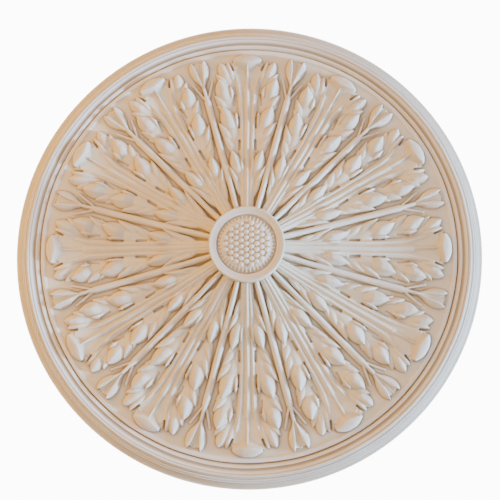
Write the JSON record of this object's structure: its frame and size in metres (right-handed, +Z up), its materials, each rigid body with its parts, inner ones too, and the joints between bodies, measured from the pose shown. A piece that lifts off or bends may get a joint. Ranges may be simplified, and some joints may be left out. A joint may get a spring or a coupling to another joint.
{
  "type": "ceiling rose",
  "caption": "Round acanthus ceiling rose that hides the fixing point of a hanging light: dished leaf field, raised boss with a low dome, stepped rim moulding, flat back",
  "frame": {"origin": "middle of the flat back, in the plane of the ceiling it is fixed to", "axes": "+Z up into the ceiling, along the axis of the rose; the carved face looks down -Z; +Y runs along the midrib of one leaf"},
  "size_m": [1, 1, 0.098],
  "materials": {
    "cast_plaster": "matte"
  },
  "bodies": {
    "root": {"ceiling_rose": "cast_plaster"}
  },
  "joints": []
}
